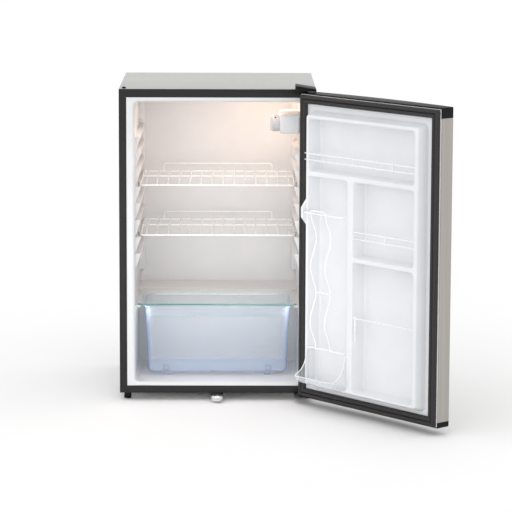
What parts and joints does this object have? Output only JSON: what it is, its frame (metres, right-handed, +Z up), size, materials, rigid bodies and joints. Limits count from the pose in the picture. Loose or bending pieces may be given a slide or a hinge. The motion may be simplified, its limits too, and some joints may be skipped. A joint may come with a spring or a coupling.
{
  "type": "compact refrigerator",
  "caption": "Compact upright refrigerator with a hinged door, sliding wire shelves, a glass-topped crisper drawer, a can dispenser in the door and a key lock.",
  "frame": {"origin": "on the floor, at the middle of the bounding box with the door stored open", "axes": "+Z up, +Y towards the back of the cabinet, +X towards the hinge side as seen from the front"},
  "size_m": [0.8484, 0.9426, 0.8487],
  "materials": {
    "grey_paint": "light grey satin paint on sheet steel",
    "frame_paint": "dark grey satin paint",
    "zinc_steel": "zinc plated pressed steel",
    "foam": "pale rigid foam, never seen",
    "white_liner": "thermoformed white plastic, soft gloss",
    "aluminium": "plain rolled sheet",
    "rubber": "black moulded rubber",
    "black_steel": "black enamelled steel",
    "black_plastic": "black fine-grained plastic",
    "copper": "bare copper tube",
    "white_plastic": "white moulded plastic",
    "lens": "frosted lamp cover",
    "bulb": "warm lit bulb",
    "white_wire": "steel wire in a white powder coat",
    "shelf_glass": "tempered glass with a green edge",
    "crisper_plastic": "translucent pale lilac-blue plastic",
    "chrome": "polished chrome",
    "stainless": "brushed stainless steel",
    "gasket_vinyl": "dark grey flexible vinyl",
    "clear_rail": "frosty clear plastic",
    "clear_plastic": "frosty clear plastic"
  },
  "bodies": {
    "cabinet": {"outer_wrap": "grey_paint", "front_frame": "frame_paint", "rear_panel": "grey_paint", "base_pan": "zinc_steel", "cabinet_foam": "foam", "inner_liner": "white_liner", "evaporator_plate": "aluminium", "compressor_base": "zinc_steel", "compressor_mount_1": "rubber", "compressor_mount_2": "rubber", "compressor_mount_3": "rubber", "compressor_mount_4": "rubber", "compressor": "black_steel", "relay_cover": "black_plastic", "drip_tray": "black_plastic", "filter_drier": "copper", "suction_line": "copper", "discharge_line": "copper", "condenser_coil": "black_steel", "condenser_bracket_left": "black_steel", "condenser_bracket_right": "black_steel", "cord_gland": "black_plastic", "top_hinge_plate": "zinc_steel", "top_hinge_pin": "zinc_steel", "top_hinge_cover": "black_plastic", "bottom_hinge_plate": "zinc_steel", "bottom_hinge_pin": "zinc_steel", "hinge_hole_plug": "black_plastic", "rear_foot_left": "black_plastic", "rear_foot_right": "black_plastic", "lamp_housing": "white_plastic", "lamp_lens": "lens", "lamp_bulb": "bulb", "lamp_holder": "white_plastic", "thermostat": "zinc_steel", "lock_bracket": "black_plastic"},
    "door": {"door_skin": "stainless", "door_top_cap": "black_plastic", "door_bottom_cap": "black_plastic", "door_foam": "foam", "door_liner": "white_liner", "door_gasket": "gasket_vinyl", "door_top_rail": "clear_rail", "door_side_rail": "clear_rail", "bottle_rail": "clear_rail", "can_rack": "white_wire", "can_scoop": "clear_plastic", "top_hinge_bush": "white_plastic", "bottom_hinge_bush": "white_plastic", "lock_strike": "zinc_steel"},
    "crisper": {"crisper_drawer": "crisper_plastic"},
    "crisper_cover": {"glass_shelf": "shelf_glass"},
    "upper_shelf": {"upper_wire_shelf": "white_wire"},
    "lower_shelf": {"lower_wire_shelf": "white_wire"},
    "knob": {"thermostat_knob": "white_plastic"},
    "switch": {"lamp_switch": "white_plastic"},
    "lock_plug": {"lock_barrel": "chrome"},
    "lock_pin": {"lock_bolt": "zinc_steel"},
    "left_foot": {"front_foot_left": "black_plastic"},
    "right_foot": {"front_foot_right": "black_plastic"}
  },
  "joints": [
    {"name": "door_hinge", "type": "hinge", "parent": "cabinet", "child": "door", "pos_m": [0.08133, -0.07216, 0.0207], "axis": [0, 0, 1], "range_deg": [-131, 25]},
    {"name": "crisper_slide", "type": "slide", "parent": "cabinet", "child": "crisper", "axis": [0, -1, 0], "range_m": [0, 0.19]},
    {"name": "crisper_cover_slide", "type": "slide", "parent": "cabinet", "child": "crisper_cover", "axis": [0, -1, 0], "range_m": [0, 0.2]},
    {"name": "upper_shelf_slide", "type": "slide", "parent": "cabinet", "child": "upper_shelf", "axis": [0, -1, 0], "range_m": [0, 0.26]},
    {"name": "lower_shelf_slide", "type": "slide", "parent": "cabinet", "child": "lower_shelf", "axis": [0, -1, 0], "range_m": [0, 0.26]},
    {"name": "thermostat_turn", "type": "hinge", "parent": "cabinet", "child": "knob", "pos_m": [0.00233, 0.09084, 0.7325], "axis": [-1, 0, 0], "range_deg": [0, 270]},
    {"name": "lamp_switch_rock", "type": "hinge", "parent": "cabinet", "child": "switch", "pos_m": [0.00483, 0.14384, 0.7325], "axis": [0, 0, 1], "range_deg": [0, 10]},
    {"name": "lock_turn", "type": "hinge", "parent": "cabinet", "child": "lock_plug", "pos_m": [-0.16417, -0.06616, 0.0095], "axis": [0, 0, 1], "range_deg": [0, 90]},
    {"name": "lock_bolt_slide", "type": "slide", "parent": "cabinet", "child": "lock_pin", "axis": [0, 0, 1], "range_m": [0, 0.008]},
    {"name": "left_foot_screw", "type": "slide", "parent": "cabinet", "child": "left_foot", "axis": [0, 0, -1], "range_m": [0, 0.012]},
    {"name": "right_foot_screw", "type": "slide", "parent": "cabinet", "child": "right_foot", "axis": [0, 0, -1], "range_m": [0, 0.012]}
  ],
  "couplings": [
    {"joint": "lock_bolt_slide", "follows": "lock_turn", "m_per_rad": 0.0050924}
  ]
}
